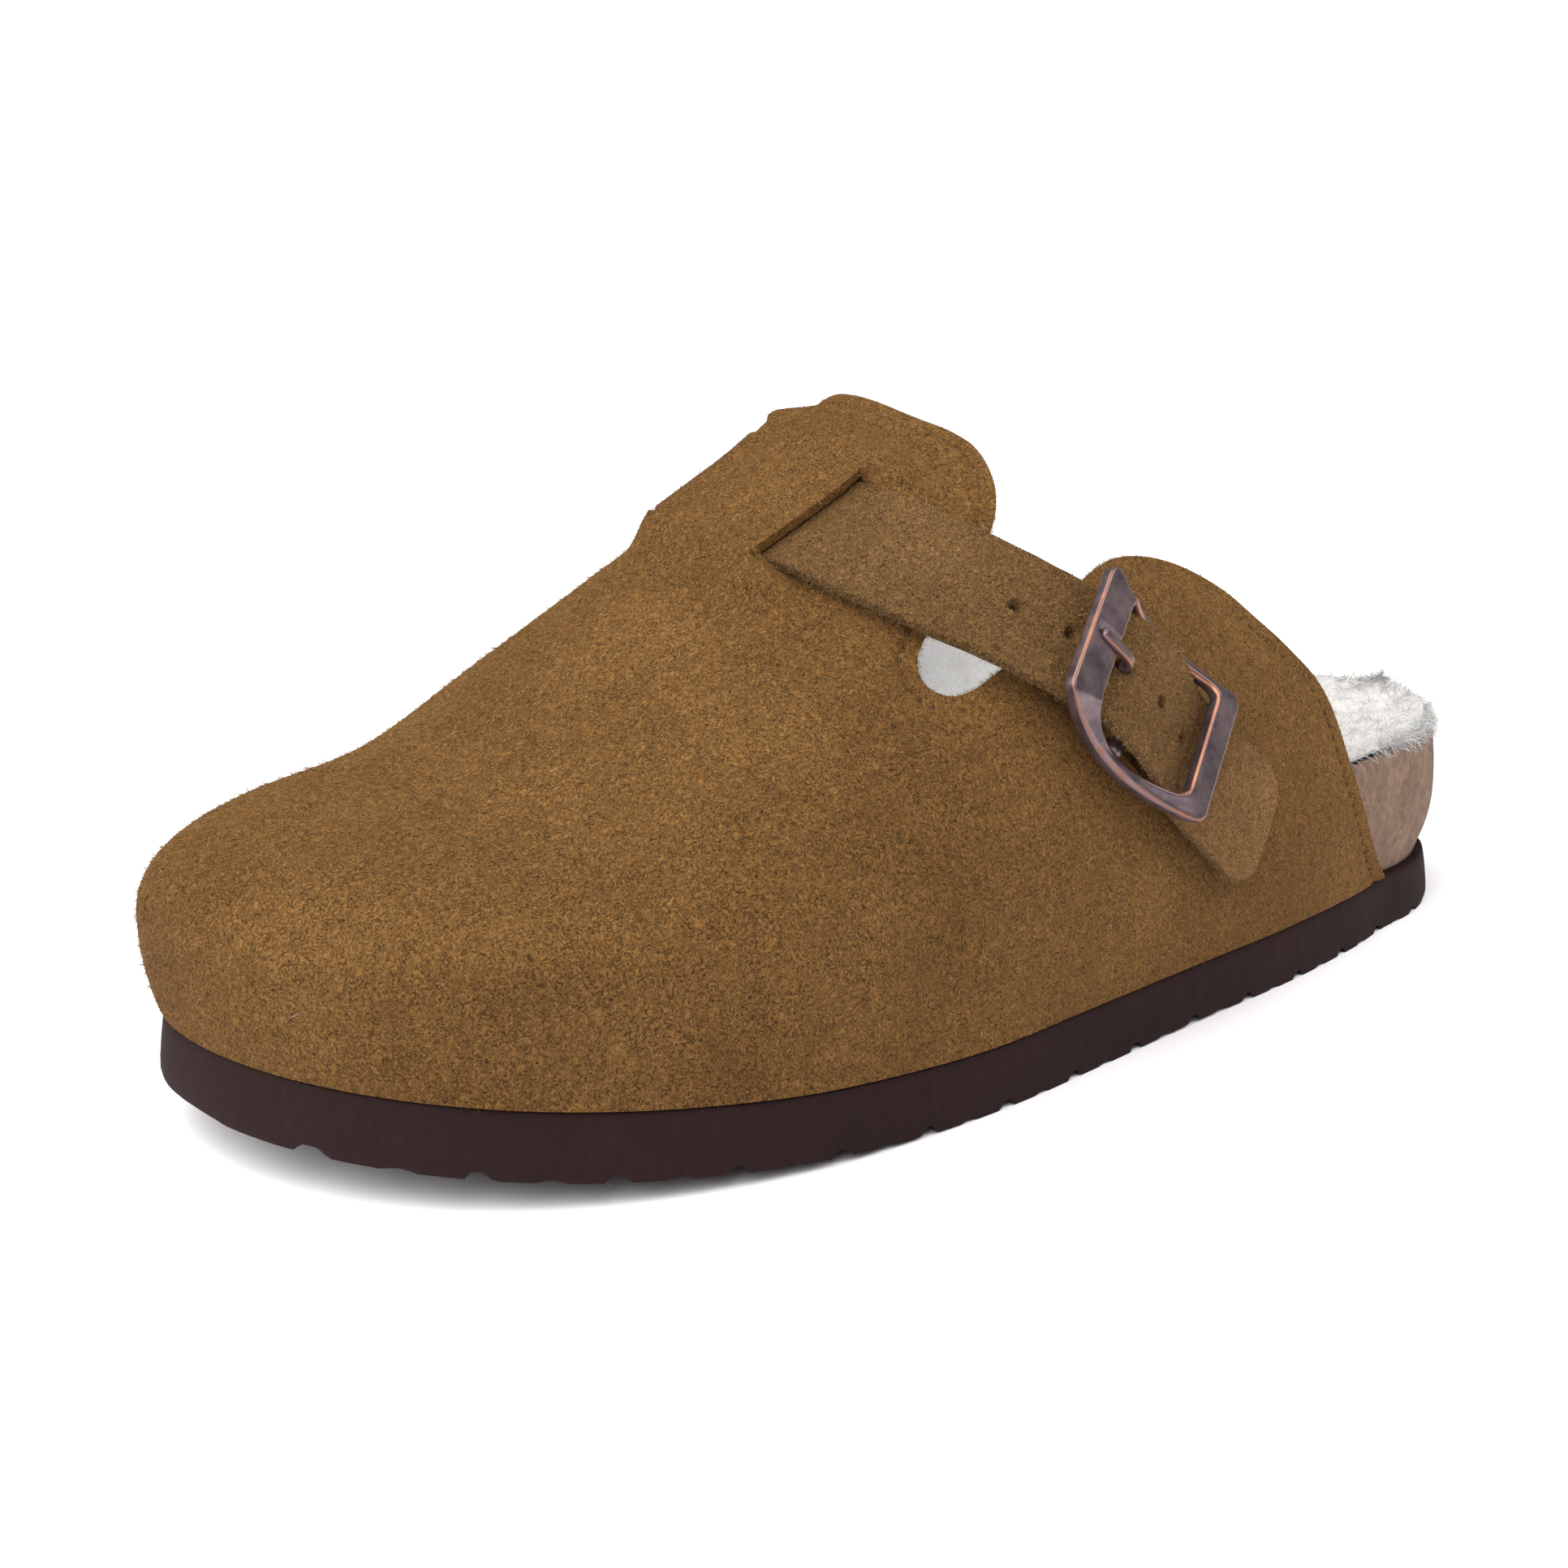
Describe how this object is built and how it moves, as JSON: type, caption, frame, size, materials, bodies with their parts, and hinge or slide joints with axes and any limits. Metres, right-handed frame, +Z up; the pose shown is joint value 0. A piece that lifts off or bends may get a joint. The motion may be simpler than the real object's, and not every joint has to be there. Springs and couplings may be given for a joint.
{
  "type": "clog slipper",
  "caption": "Backless suede clog slipper for the left foot, with a cork footbed, shearling insole, flat foam outsole and a buckled instep strap.",
  "frame": {"origin": "under the middle of the shoe's bounding box, on the floor plane", "axes": "+X toward the toe, +Y toward the lateral side with the buckle, +Z up"},
  "size_m": [0.2772, 0.1108, 0.1086],
  "materials": {
    "outsole": "matt dark brown foam rubber",
    "footbed": "fine-grained taupe brown cork, sealed matt",
    "insole": "off-white shearling pile",
    "upper": "tan brown suede, brushed nap",
    "strap": "greyer tan brown suede, brushed nap",
    "buckle_chape": "tan brown suede",
    "buckle_frame": "antique copper plating, dark in the flats and bright on worn edges",
    "buckle_pin": "antique copper plating",
    "buckle_prong": "antique copper plating, worn bright"
  },
  "bodies": {
    "root": {"outsole": "outsole", "footbed": "footbed", "insole": "insole", "upper": "upper", "strap": "strap", "buckle_chape": "buckle_chape", "buckle_frame": "buckle_frame", "buckle_pin": "buckle_pin", "buckle_prong": "buckle_prong"}
  },
  "joints": []
}
